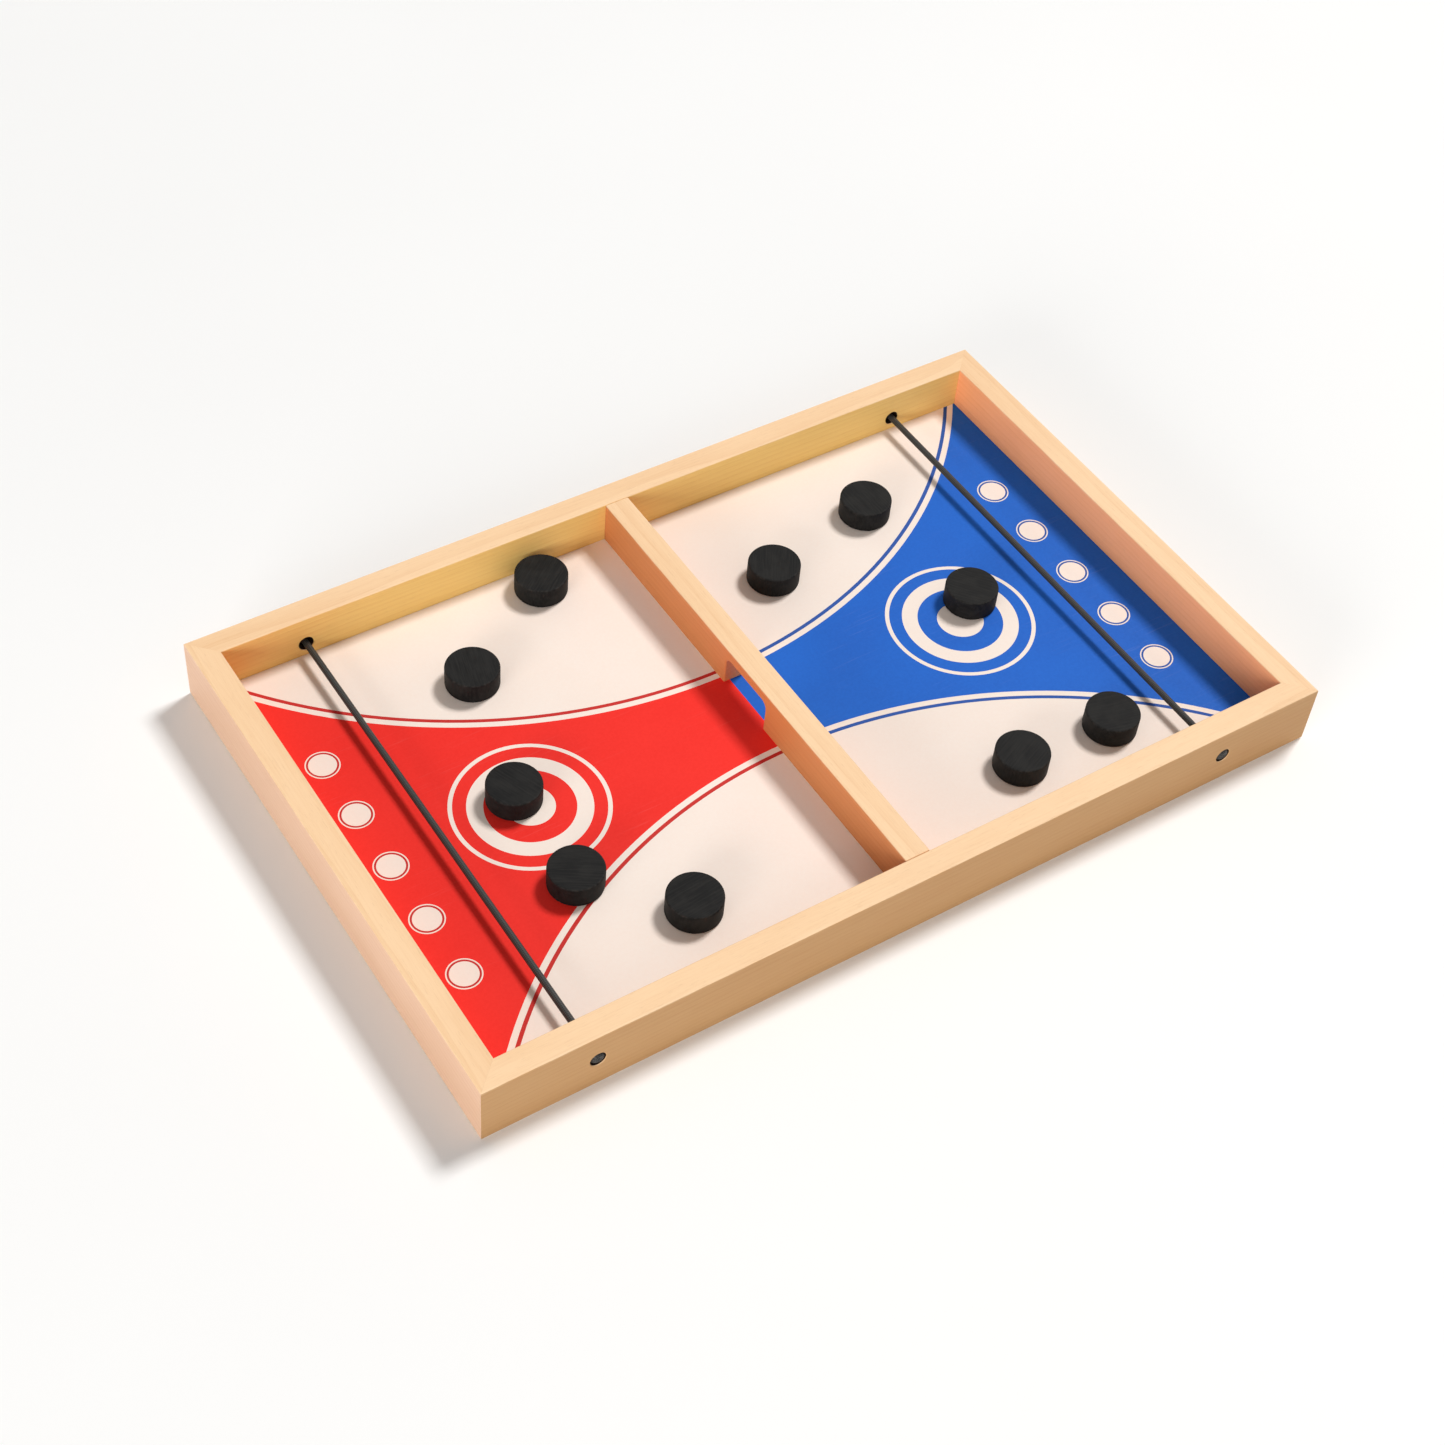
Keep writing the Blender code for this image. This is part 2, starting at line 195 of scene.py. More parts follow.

# Rails: side, rest of the node's name, length, place, turn about Z, and the painted light and shade of the
# outer and inner faces
RAILS = (
    ("front", "rail", LENGTH, (0.0, -WIDTH / 2, 0.0), 0, FRONT_PAINTED_SHADING, SIDE_PAINTED_SHADING),
    ("back", "rail", LENGTH, (0.0, WIDTH / 2, 0.0), pi, SIDE_PAINTED_SHADING, BACK_INNER_PAINTED_SHADING),
    ("left", "end_rail", WIDTH, (-LENGTH / 2, 0.0, 0.0), -pi / 2, LEFT_PAINTED_SHADING, SIDE_PAINTED_SHADING),
    ("right", "end_rail", WIDTH, (LENGTH / 2, 0.0, 0.0), pi / 2, SIDE_PAINTED_SHADING, RIGHT_INNER_PAINTED_SHADING),
)

# Inks of the court print: name, colour and the darker tone that it is mottled with. Their order is the
# one that printed_colour counts in
INKS = (
    ("cream_ink", CREAM, to_linear(251, 233, 220)),
    ("red_ink", RED, to_linear(242, 44, 36)),
    ("blue_ink", BLUE, to_linear(34, 96, 194)),
    ("dark_red_ink", to_linear(208, 54, 50), to_linear(198, 46, 42)),
    ("dark_blue_ink", to_linear(50, 92, 174), to_linear(44, 84, 162)),
)

# Floor, a little under the object, and the light that the surround gives where it is not itself seen
FLOOR_HALF_SIZE = 4.0
FLOOR_Z = -0.2 * MM
SURROUND_LIGHT = 0.28


class Graph:
    """The nodes of one material. A socket's value may be a number, a colour or another node's output."""

    def __init__(self, name):
        self.material = bpy.data.materials.new(name)
        self.material.use_nodes = True
        self.tree = self.material.node_tree
        self.shader = self.tree.nodes["Principled BSDF"]

    def put(self, socket, value):
        if isinstance(value, bpy.types.NodeSocket):
            self.tree.links.new(value, socket)
        elif isinstance(value, (tuple, list)) and socket.type == "RGBA" and len(value) == 3:
            socket.default_value = (*value, 1.0)
        else:
            socket.default_value = value

    def node(self, kind, inputs=(), **settings):
        made = self.tree.nodes.new("ShaderNode" + kind)
        for key, value in settings.items():
            setattr(made, key, value)
        for key, value in dict(inputs).items():
            self.put(made.inputs[key], value)
        return made

    def math(self, operation, first, second=0.0, third=0.0, clamp=False):
        inputs = {0: first, 1: second, 2: third}
        return self.node("Math", inputs, operation=operation, use_clamp=clamp).outputs[0]

    def mix(self, factor, first, second, blend="MIX"):
        made = self.node("Mix", data_type="RGBA", blend_type=blend)
        self.put(made.inputs["Factor"], factor)
        self.put(made.inputs[6], first)
        self.put(made.inputs[7], second)
        return made.outputs[2]

    def ramp(self, value, low, high, to_low=0.0, to_high=1.0):
        """Maps a value smoothly from one range to another, and holds it at the ends."""
        inputs = {"Value": value, "From Min": low, "From Max": high, "To Min": to_low, "To Max": to_high}
        return self.node("MapRange", inputs, interpolation_type="SMOOTHSTEP").outputs[0]

    def place(self, offset=(0, 0, 0), scale=(1, 1, 1)):
        """The piece's own coordinates, shifted and scaled."""
        coordinates = self.node("TexCoord").outputs["Object"]
        inputs = {"Vector": coordinates, "Location": offset, "Scale": scale}
        return self.node("Mapping", inputs).outputs[0]

    def noise(self, vector, scale=1.0, detail=2.0, roughness=0.5):
        inputs = {"Vector": vector, "Scale": scale, "Detail": detail, "Roughness": roughness}
        return self.node("TexNoise", inputs).outputs["Fac"]

    def split(self, vector):
        return self.node("SeparateXYZ", {0: vector}).outputs

    def from_axis(self, first, second):
        """How far a point is from an axis, from its two coordinates across it."""
        squares = [self.math("POWER", value, 2.0) for value in (first, second)]
        return self.math("SQRT", self.math("ADD", *squares))

    def bump(self, height, distance, strength=1.0):
        inputs = {"Height": height, "Distance": distance, "Strength": strength}
        self.put(self.shader.inputs["Normal"], self.node("Bump", inputs).outputs[0])

    def finish(self, colour, roughness, **uniform):
        """Sets the shader's colour and roughness, and values that are the same all over the surface."""
        self.put(self.shader.inputs["Base Color"], colour)
        self.put(self.shader.inputs["Roughness"], roughness)
        for key, value in uniform.items():
            self.shader.inputs[key.replace("_", " ")].default_value = value
        return self.material


def edge_wear(graph, centre, half, reach):
    """1 on the long edges of a bar along the piece's X, fading to 0 at reach from them, in patches."""
    axes = graph.split(graph.place())
    insides = []
    for axis, middle, extent in (("Y", centre[0], half[0]), ("Z", centre[1], half[1])):
        away = graph.math("ABSOLUTE", graph.math("SUBTRACT", axes[axis], middle))
        insides.append(graph.math("SUBTRACT", away, extent - reach))
    nearness = graph.math("DIVIDE", graph.math("MINIMUM", *insides), reach, clamp=True)
    patches = graph.ramp(graph.noise(graph.place(scale=(60, 300, 300)), detail=3.0), 0.35, 0.75)
    return graph.math("MULTIPLY", nearness, patches)


def wood(name, seed, centre, half, outside, inside):
    """Pale straight-grained wood with its grain along the piece's X, sanded, with a thin matt lacquer.

    centre and half are the middle and half the size of the piece's section, in Y and Z. The long edges
    are worn slightly paler. The upright faces carry painted light and shade, darker than the tops and
    tinted as each face is lit: outside at the section's low Y, and inside at its high Y.
    """
    graph = Graph(name)
    offset = (0.31 * seed, 0.043 * seed, 0.027 * seed)
    to_heart = (0, 0.004 * seed - centre[0], HEART_DEPTH + 0.003 * seed)
    axes = graph.split(graph.place(to_heart))
    drift = graph.noise(graph.place(offset, (7, 60, 60)), detail=2.0)
    wavering = graph.math("MULTIPLY_ADD", drift, RING_WAVER, graph.from_axis(axes["Y"], axes["Z"]))
    year = graph.math("FRACT", graph.math("DIVIDE", wavering, YEAR_RING))
    rings = graph.math("POWER", year, 3.0)
    fibre = graph.noise(graph.place(offset, (55, 1500, 1500)), detail=4.0, roughness=0.6)
    pores = graph.ramp(graph.noise(graph.place(offset, (260, 4200, 4200)), detail=1.0), 0.66, 0.74)
    tone = graph.noise(graph.place(offset, (9, 40, 40)), detail=3.0)
    wear = edge_wear(graph, centre, half, EDGE_WEAR)
    upwards = graph.math("ABSOLUTE", graph.split(graph.node("NewGeometry").outputs["Normal"])["Z"])
    inwards = graph.ramp(graph.split(graph.place())["Y"], centre[0] - half[0], centre[0] + half[0])
    # Painted light and shade: the upright faces take the tone given for each face, and the tops the pale
    # wood
    painted_side_shading = graph.mix(inwards, outside, inside)
    face = graph.mix(graph.ramp(upwards, 0.15, 0.85), painted_side_shading, PALE_WOOD)
    depth = graph.math("MULTIPLY_ADD", rings, 0.20, graph.ramp(fibre, 0.35, 0.75, 0.0, 0.18))
    depth = graph.math("ADD", depth, graph.ramp(tone, 0.35, 0.70, -0.04, 0.14), clamp=True)
    deep_face = graph.mix(1.0, face, DEEPENING, "MULTIPLY")
    colour = graph.mix(depth, face, deep_face)
    colour = graph.mix(graph.math("MULTIPLY", pores, 0.16), colour, to_linear(176, 122, 70))
    colour = graph.mix(graph.math("MULTIPLY", wear, 0.45), colour, to_linear(255, 229, 192))
    shine = graph.math("MULTIPLY_ADD", fibre, 0.16, 0.47)
    shine = graph.math("MULTIPLY_ADD", wear, 0.10, shine)
    relief = graph.math("MULTIPLY_ADD", rings, 0.3, fibre)
    relief = graph.math("MULTIPLY_ADD", pores, -0.7, relief)
    graph.bump(relief, 0.05 * MM, 0.55)
    return graph.finish(colour, shine, Specular_IOR_Level=0.35)


def hole_shade_wood():
    """Painted shade inside a drilled hole: its walls coloured nearly black, with a faint brown mottling."""
    graph = Graph("hole_shade_wood")
    shade_mottle = graph.noise(graph.place(), 1800.0, 4.0, 0.6)
    colour = graph.mix(graph.ramp(shade_mottle, 0.35, 0.70), to_linear(34, 26, 20), to_linear(72, 50, 34))
    graph.bump(shade_mottle, 0.05 * MM, 0.6)
    return graph.finish(colour, graph.ramp(shade_mottle, 0.3, 0.7, 0.75, 0.9), Specular_IOR_Level=0.2)


def ink(name, colour, dark, seed):
    """Ink under a satin film: faint mottling, rub marks from sliding pucks and a fine orange peel."""
    graph = Graph(name)
    grain = graph.noise(graph.place((seed, 0, 0)), 900.0, 3.0, 0.6)
    cloud = graph.noise(graph.place((seed, 0, 0)), 35.0, 3.0)
    streaks = {"Vector": graph.place(), "Rotation": (0, 0, radians(14)), "Scale": (30, 900, 1)}
    scuffs = graph.noise(graph.node("Mapping", streaks).outputs[0], detail=3.0, roughness=0.7)
    rubbed = graph.math("MULTIPLY", graph.ramp(scuffs, 0.56, 0.72), graph.ramp(cloud, 0.40, 0.65))
    mottling = graph.ramp(grain, 0.3, 0.7, 0.0, 0.35)
    depth = graph.math("MULTIPLY_ADD", graph.ramp(cloud, 0.3, 0.7), 0.35, mottling)
    shade = graph.mix(depth, colour, dark)
    shade = graph.mix(graph.math("MULTIPLY", rubbed, 0.03), shade, RUBBED_INK)
    shine = graph.math("MULTIPLY_ADD", rubbed, -0.08, graph.ramp(grain, 0.3, 0.7, 0.52, 0.60))
    graph.bump(graph.math("MULTIPLY_ADD", cloud, 2.0, grain), 0.012 * MM, 0.5)
    return graph.finish(shade, shine, Specular_IOR_Level=0.12)


def hardboard():
    """Brown pressed fibre board. Its underside carries the fine square print of the press screen."""
    graph = Graph("brown_hardboard")
    fibres = graph.noise(graph.place(), 420.0, 5.0, 0.65)
    flecks = graph.ramp(graph.noise(graph.place(), 1600.0, 2.0), 0.60, 0.72)
    axes = graph.split(graph.place())
    thread = 2 * pi / (1.1 * MM)
    across = graph.math("SINE", graph.math("MULTIPLY", axes["X"], thread))
    along = graph.math("SINE", graph.math("MULTIPLY", axes["Y"], thread))
    screen = graph.math("MULTIPLY_ADD", graph.math("MULTIPLY", across, along), 0.5, 0.5)
    colour = graph.mix(graph.ramp(fibres, 0.3, 0.7), to_linear(138, 100, 62), to_linear(172, 130, 86))
    colour = graph.mix(graph.math("MULTIPLY", flecks, 0.5), colour, to_linear(92, 62, 38))
    colour = graph.mix(graph.ramp(screen, 0.0, 1.0, 0.16, 0.0), colour, to_linear(88, 60, 38))
    graph.bump(graph.math("MULTIPLY_ADD", fibres, 0.6, screen), 0.08 * MM, 0.7)
    return graph.finish(colour, graph.ramp(fibres, 0.3, 0.7, 0.70, 0.88))


def black_stained_wood():
    """Turned wood, stained black: faint grain, concentric tool marks and rims rubbed a little greyer."""
    graph = Graph("black_stained_wood")
    own = graph.node("ObjectInfo").outputs["Random"]
    shift = graph.node("CombineXYZ", {"X": own, "Y": own}).outputs[0]
    moved = graph.node("VectorMath", {0: graph.place(), 1: shift}, operation="ADD").outputs[0]
    stretched = graph.node("Mapping", {"Vector": moved, "Scale": (90, 1500, 500)}).outputs[0]
    grain = graph.noise(stretched, detail=4.0, roughness=0.65)
    cloud = graph.noise(moved, 160.0, 2.0)
    axes = graph.split(graph.place())
    radius = graph.from_axis(axes["X"], axes["Y"])
    marks = graph.math("SINE", graph.math("MULTIPLY", radius, 2 * pi / (0.45 * MM)))
    top_reach = graph.math("SUBTRACT", graph.math("ABSOLUTE", axes["Z"]), PUCK_HALF_HEIGHT - PUCK_EASE)
    side_reach = graph.math("SUBTRACT", radius, PUCK_RADIUS - PUCK_EASE)
    rim = graph.math("DIVIDE", graph.math("MINIMUM", top_reach, side_reach), PUCK_EASE, clamp=True)
    rubbed = graph.math("MULTIPLY", rim, graph.ramp(graph.noise(moved, 700.0, 3.0), 0.35, 0.70))
    colour = graph.mix(graph.ramp(grain, 0.35, 0.72), to_linear(18, 18, 18), to_linear(38, 37, 36))
    colour = graph.mix(graph.ramp(cloud, 0.40, 0.70, 0.0, 0.30), colour, to_linear(46, 45, 43))
    colour = graph.mix(graph.math("MULTIPLY", rubbed, 0.40), colour, to_linear(84, 81, 77))
    relief = graph.math("MULTIPLY_ADD", marks, 0.10, grain)
    graph.bump(relief, 0.04 * MM, 0.5)
    return graph.finish(colour, graph.ramp(grain, 0.3, 0.7, 0.56, 0.70), Specular_IOR_Level=0.09)


def braided_elastic(name, strands, pitch):
    """A woven cover on an elastic cord. U runs once round the cord, and V along it in metres."""
    graph = Graph(name)
    axes = graph.split(graph.node("TexCoord").outputs["UV"])
    turn = graph.math("MULTIPLY", axes["X"], 2 * pi * strands)
    run = graph.math("MULTIPLY", axes["Y"], 2 * pi / pitch)
    one_way = graph.math("SINE", graph.math("ADD", turn, run))
    other_way = graph.math("SINE", graph.math("SUBTRACT", turn, run))
    weave = graph.math("MULTIPLY_ADD", graph.math("MULTIPLY", one_way, other_way), 0.5, 0.5)
    fluff = graph.noise(graph.place(), 2600.0, 3.0, 0.6)
    colour = graph.mix(weave, to_linear(24, 24, 24), to_linear(71, 70, 68))
    colour = graph.mix(graph.ramp(fluff, 0.5, 0.8, 0.0, 0.3), colour, to_linear(94, 92, 88))
    graph.bump(graph.math("MULTIPLY_ADD", fluff, 0.3, weave), 0.08 * MM, 0.6)
    shine = graph.ramp(weave, 0.0, 1.0, 0.52, 0.38)
    return graph.finish(colour, shine, Specular_IOR_Level=0.25, Sheen_Weight=0.05, Sheen_Roughness=0.4)


def zinc_plated_steel():
    """Bright zinc with fine scratches and a few dull spots."""
    graph = Graph("zinc_plated_steel")
    scratches = graph.noise(graph.place(scale=(900, 9000, 900)), detail=3.0)
    spots = graph.ramp(graph.noise(graph.place(), 900.0, 3.0), 0.50, 0.72)
    colour = graph.mix(spots, to_linear(206, 205, 200), to_linear(158, 157, 152))
    colour = graph.mix(graph.ramp(scratches, 0.4, 0.7, 0.0, 0.25), colour, to_linear(126, 126, 124))
    graph.bump(scratches, 0.01 * MM, 0.5)
    return graph.finish(colour, graph.ramp(spots, 0.0, 1.0, 0.28, 0.50), Metallic=1.0)


def rounded_outline(corners):
    """A closed outline with round corners. Each corner is (x, y, radius), and one of radius 0 is sharp."""
    points = []
    for index, (x, y, radius) in enumerate(corners):
        here = Vector((x, y))
        if radius == 0:
            points.append(here)
            continue
        before = (Vector(corners[index - 1][:2]) - here).normalized()
        after = (Vector(corners[(index + 1) % len(corners)][:2]) - here).normalized()
        half_angle = before.angle(after) / 2
        centre = here + (before + after).normalized() * (radius / sin(half_angle))
        start = (here + before * (radius / tan(half_angle)) - centre).normalized()
        end = (here + after * (radius / tan(half_angle)) - centre).normalized()
        for step in range(ROUND_STEPS + 1):
            points.append(centre + start.slerp(end, step / ROUND_STEPS) * radius)
    return points


def new_mesh(name, shape):
    """Turns a bmesh into a mesh with outward faces, smooth but for its sharp edges."""
    bmesh.ops.recalc_face_normals(shape, faces=shape.faces)
    mesh = bpy.data.meshes.new(name)
    shape.to_mesh(mesh)
    shape.free()
    mesh.shade_smooth()
    mesh.set_sharp_from_angle(angle=SMOOTH_ANGLE)
    return mesh


def lofted(name, rings):
    """A skin over rings of points, all with the same count, with its two ends filled."""
    shape = bmesh.new()
    made = [[shape.verts.new(point) for point in ring] for ring in rings]
    count = len(made[0])
    for first, second in zip(made, made[1:]):
        for index in range(count):
            after = (index + 1) % count
            shape.faces.new((first[index], first[after], second[after], second[index]))
    shape.faces.new(made[0])
    shape.faces.new(made[-1])
    return new_mesh(name, shape)


def turned(name, profile, steps):
    """A shape turned about Z from (radius, height) points that start and end on the axis."""
    shape = bmesh.new()
    angles = [2 * pi * step / steps for step in range(steps)]
    rings = []
    for radius, height in profile:
        if radius == 0:
            rings.append([shape.verts.new((0.0, 0.0, height))])
            continue
        rings.append([shape.verts.new((radius * cos(a), radius * sin(a), height)) for a in angles])
    for first, second in zip(rings, rings[1:]):
        for index in range(steps):
            after = (index + 1) % steps
            around = (
                first[index % len(first)],
                first[after % len(first)],
                second[after % len(second)],
                second[index % len(second)],
            )
            shape.faces.new(list(dict.fromkeys(around)))
    return new_mesh(name, shape)


def piece(name, mesh, material, body, slot, *nodes, place=None):
    """A visible piece: its finish, the body it rides on, and the solids it stands for. Its slot is not used.

    A mesh that has materials of its own comes with none, and a piece given no body rides on none.
    """
    obj = bpy.data.objects.new(name, mesh)
    if not mesh.materials:
        mesh.materials.append(material)
    bpy.context.scene.collection.objects.link(obj)
    if place is not None:
        obj.matrix_world = place
    if body is not None:
        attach(obj, body)
    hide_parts(*nodes)
    return obj


def cut_away(obj, cutters):
    """Cuts meshes, given in the piece's own space, out of a piece, and keeps the result as its mesh."""
    helpers = []
    for cutter in cutters:
        helper = bpy.data.objects.new("cutter", cutter)
        bpy.context.scene.collection.objects.link(helper)
        helper.matrix_world = obj.matrix_world
        helpers.append(helper)
        change = obj.modifiers.new("cut", "BOOLEAN")
        change.object = helper
        change.solver = "EXACT"
    cut = obj.evaluated_get(bpy.context.evaluated_depsgraph_get())
    mesh = bpy.data.meshes.new_from_object(cut)
    obj.modifiers.clear()
    obj.data = mesh
    for helper in helpers:
        bpy.data.objects.remove(helper)
    mesh.set_sharp_from_angle(angle=SMOOTH_ANGLE)


def weigh_normals(obj):
    """Keeps the wide faces flat in shading, beside their rounded edges."""
    weights = obj.modifiers.new("flat_faces", "WEIGHTED_NORMAL")
    weights.keep_sharp = True


def rail_mesh(name, length):
    """A mitred rail along X, with its outer face at y = 0 and the panel's groove in its inner face."""
    groove_low = PANEL_LOW.z - FIT
    groove_high = PANEL_HIGH.z + FIT
    groove_bottom = RAIL - (PANEL_HIGH.y - INNER_WIDTH / 2) - FIT
    section = rounded_outline(
        (
            (0.0, 0.0, WOOD_EDGE),
            (RAIL, 0.0, WOOD_EDGE),
            (RAIL, groove_low, 0.0),
            (groove_bottom, groove_low, 0.0),
            (groove_bottom, groove_high, 0.0),
            (RAIL, groove_high, 0.0),
            (RAIL, HEIGHT, WOOD_EDGE),
            (0.0, HEIGHT, WOOD_EDGE),
        )
    )
    rings = []
    for end in (-1, 1):
        rings.append([(end * (length / 2 - FIT / 2 - y), y, z) for y, z in section])
    return lofted(name, rings)


def hole_cutter(x):
    """The stepped hole for a sling's end, across a rail along X, with eased rims on both faces."""
    over = 2 * MM
    profile = (
        (0.0, RAIL + over),
        (MOUTH / 2 + MOUTH_EASE + over, RAIL + over),
        (MOUTH / 2, RAIL - MOUTH_EASE),
        (MOUTH / 2, RAIL - MOUTH_DEPTH),
        (BORE / 2, RAIL - MOUTH_DEPTH),
        (BORE / 2, COUNTERBORE_DEPTH),
        (COUNTERBORE / 2, COUNTERBORE_DEPTH),
        (COUNTERBORE / 2, MOUTH_EASE),
        (COUNTERBORE / 2 + MOUTH_EASE + over, -over),
        (0.0, -over),
    )
    cutter = turned("hole", profile, HOLE_SIDES)
    cutter.transform(Matrix.Translation((x, 0.0, SLING_Z)) @ Matrix.Rotation(-pi / 2, 4, "X"))
    return cutter


def nail_slot(corner):
    """The slot that a corner's nail is driven into from below, in world space."""
    low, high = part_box(f"{corner}_corner_nail")
    middle = (low + high) / 2
    out_x, out_y = copysign(1.0, middle.x), copysign(1.0, middle.y)
    legs = high.x - low.x + NAIL_FIT
    inner = NAIL_THICK + NAIL_FIT
    outline = (
        (-NAIL_FIT, -NAIL_FIT),
        (legs, -NAIL_FIT),
        (legs, inner),
        (inner, inner),
        (inner, legs),
        (-NAIL_FIT, legs),
    )
    corner_x = middle.x + out_x * (high.x - low.x) / 2
    corner_y = middle.y + out_y * (high.y - low.y) / 2
    flat = [(corner_x - out_x * x, corner_y - out_y * y) for x, y in outline]
    return lofted("nail_slot", [[(x, y, z) for x, y in flat] for z in (-WOOD_EDGE, high.z + NAIL_FIT)])


def paint_hole_shade(rail, hole_shade):
    """Gives the faces inside a rail's drilled holes their painted shade, a nearly black finish."""
    rail.data.materials.append(hole_shade)
    for face in rail.data.polygons:
        along = min(abs(face.center.x - SLING_X), abs(face.center.x + SLING_X))
        inside = MOUTH_EASE / 2 < face.center.y < RAIL - MOUTH_EASE / 2
        if inside and hypot(along, face.center.z - SLING_Z) < MOUTH / 2 + FIT:
            face.material_index = 1


def make_rails():
    """Four rails with rounded edges, whose mitres and holes meet those of the solids."""
    # Nearly black painted shade for the insides of the sling holes
    hole_shade = hole_shade_wood()
    half_section = (RAIL / 2, HEIGHT / 2)
    for seed, (side, kind, length, location, turn, outside, inside) in enumerate(RAILS, start=1):
        node = f"{side}_{kind}"
        finish = wood(node + "_wood", seed, half_section, half_section, outside, inside)
        place = Matrix.Translation(location) @ Matrix.Rotation(turn, 4, "Z")
        mesh = rail_mesh(node, length)
        rail = piece(node + "_timber", mesh, finish, "tray", "rail_wood", node, place=place)
        cutters = []
        for corner in CORNERS:
            if side in corner:
                slot = nail_slot(corner)
                slot.transform(place.inverted())
                cutters.append(slot)
        holds_slings = length == LENGTH
        if holds_slings:
            cutters += [hole_cutter(-SLING_X), hole_cutter(SLING_X)]
        cut_away(rail, cutters)
        if holds_slings:
            paint_hole_shade(rail, hole_shade)
        weigh_normals(rail)


def make_divider():
    """The bar across the middle, with its gate, and eased edges all round."""
    half = INNER_WIDTH / 2 - FIT
    gate = GATE_WIDTH / 2
    bottom = COURT_TOP + FIT
    outline = rounded_outline(
        (
            (half, HEIGHT, 0.0),
            (-half, HEIGHT, 0.0),
            (-half, bottom, 0.0),
            (-gate, bottom, 0.0),
            (-gate, GATE_TOP, GATE_CORNER),
            (gate, GATE_TOP, GATE_CORNER),
            (gate, bottom, 0.0),
            (half, bottom, 0.0),
        )
    )
    rings = [[(x, y, z) for x, z in outline] for y in (-DIVIDER / 2, DIVIDER / 2)]
    centre = (0.0, HEIGHT / 2)
    half_section = (DIVIDER / 2, HEIGHT / 2)
    seed = len(RAILS) + 1
    # Its two faces carry painted light and shade
    finish = wood("divider_wood", seed, centre, half_section, DIVIDER_BLUE_PAINTED_SHADING, DIVIDER_RED_PAINTED_SHADING)
    place = Matrix.Rotation(pi / 2, 4, "Z")
    mesh = lofted("divider", rings)
    bar = piece("divider_timber", mesh, finish, "tray", "divider_wood", "centre_divider", place=place)
    rounding = bar.modifiers.new("eased_edges", "BEVEL")
    rounding.width = WOOD_EDGE
    rounding.segments = ROUND_STEPS - 1
    rounding.limit_method = "ANGLE"
    rounding.angle_limit = BEVEL_ANGLE
    weigh_normals(bar)


def circle_points(centre_x, centre_y, radius, steps):
    return [
        (centre_x + radius * cos(2 * pi * step / steps), centre_y + radius * sin(2 * pi * step / steps))
        for step in range(steps)
    ]


def print_lines():
    """Every line of the court's print, as (points, closed), in millimetres."""
    half_x = INNER_LENGTH / MM / 2
    half_y = INNER_WIDTH / MM / 2
    lines = [([(0, -half_y - PRINT_OVERRUN), (0, half_y + PRINT_OVERRUN)], False)]
    for side in (-1, 1):
        for radius in (ARC_RADIUS, ARC_RADIUS - ARC_GAP, ARC_RADIUS - ARC_GAP - ARC_LINE):
            reach = asin(min(1.0, (half_x + PRINT_OVERRUN) / radius))
            angles = [reach * (2 * step / ARC_STEPS - 1) for step in range(ARC_STEPS + 1)]
            arc = [(radius * sin(a), side * (ARC_CENTRE_Y - radius * cos(a))) for a in angles]
            lines.append((arc, False))
    for end in (-1, 1):
        for number in range(-SPOTS_EACH_WAY, SPOTS_EACH_WAY + 1):
            for radius in SPOT_RADII:
                lines.append((circle_points(end * SPOT_X, number * SPOT_STEP, radius, SPOT_STEPS), True))
        for radius in TARGET_RADII:
            lines.append((circle_points(end * TARGET_X, 0, radius, TARGET_STEPS), True))
    return lines


def rings_inside(distance, radii):
    """How many of the circles a point at this distance lies outside of."""
    return sum(distance > radius for radius in radii)


def printed_colour(x, y):
    """The ink at a point of the print, in millimetres: 0 cream, 1 red, 2 blue, 3 dark red, 4 dark blue."""
    team = 1 if x < 0 else 2
    line = team + 2
    from_arc = hypot(x, abs(y) - ARC_CENTRE_Y)
    if from_arc < ARC_RADIUS:
        on_line = ARC_GAP < ARC_RADIUS - from_arc < ARC_GAP + ARC_LINE
        return line if on_line else 0
    from_target = rings_inside(hypot(abs(x) - TARGET_X, y), TARGET_RADII)
    if from_target < len(TARGET_RADII):
        return 0 if from_target % 2 == 0 else team
    nearest = max(-SPOTS_EACH_WAY, min(SPOTS_EACH_WAY, round(y / SPOT_STEP)))
    from_spot = rings_inside(hypot(abs(x) - SPOT_X, y - nearest * SPOT_STEP), SPOT_RADII)
    return (0, line, 0, team)[from_spot]


def rim_loops(shape):
    """The loops along an open sheet's rim, in order round it, so that each run builds the same mesh."""
    unordered = {edge.link_loops[0].vert: edge.link_loops[0] for edge in shape.edges if edge.is_boundary}
    rim = []
    vertex = next(iter(unordered))
    while vertex in unordered:
        rim.append(unordered.pop(vertex))
        vertex = rim[-1].link_loop_next.vert
    return rim


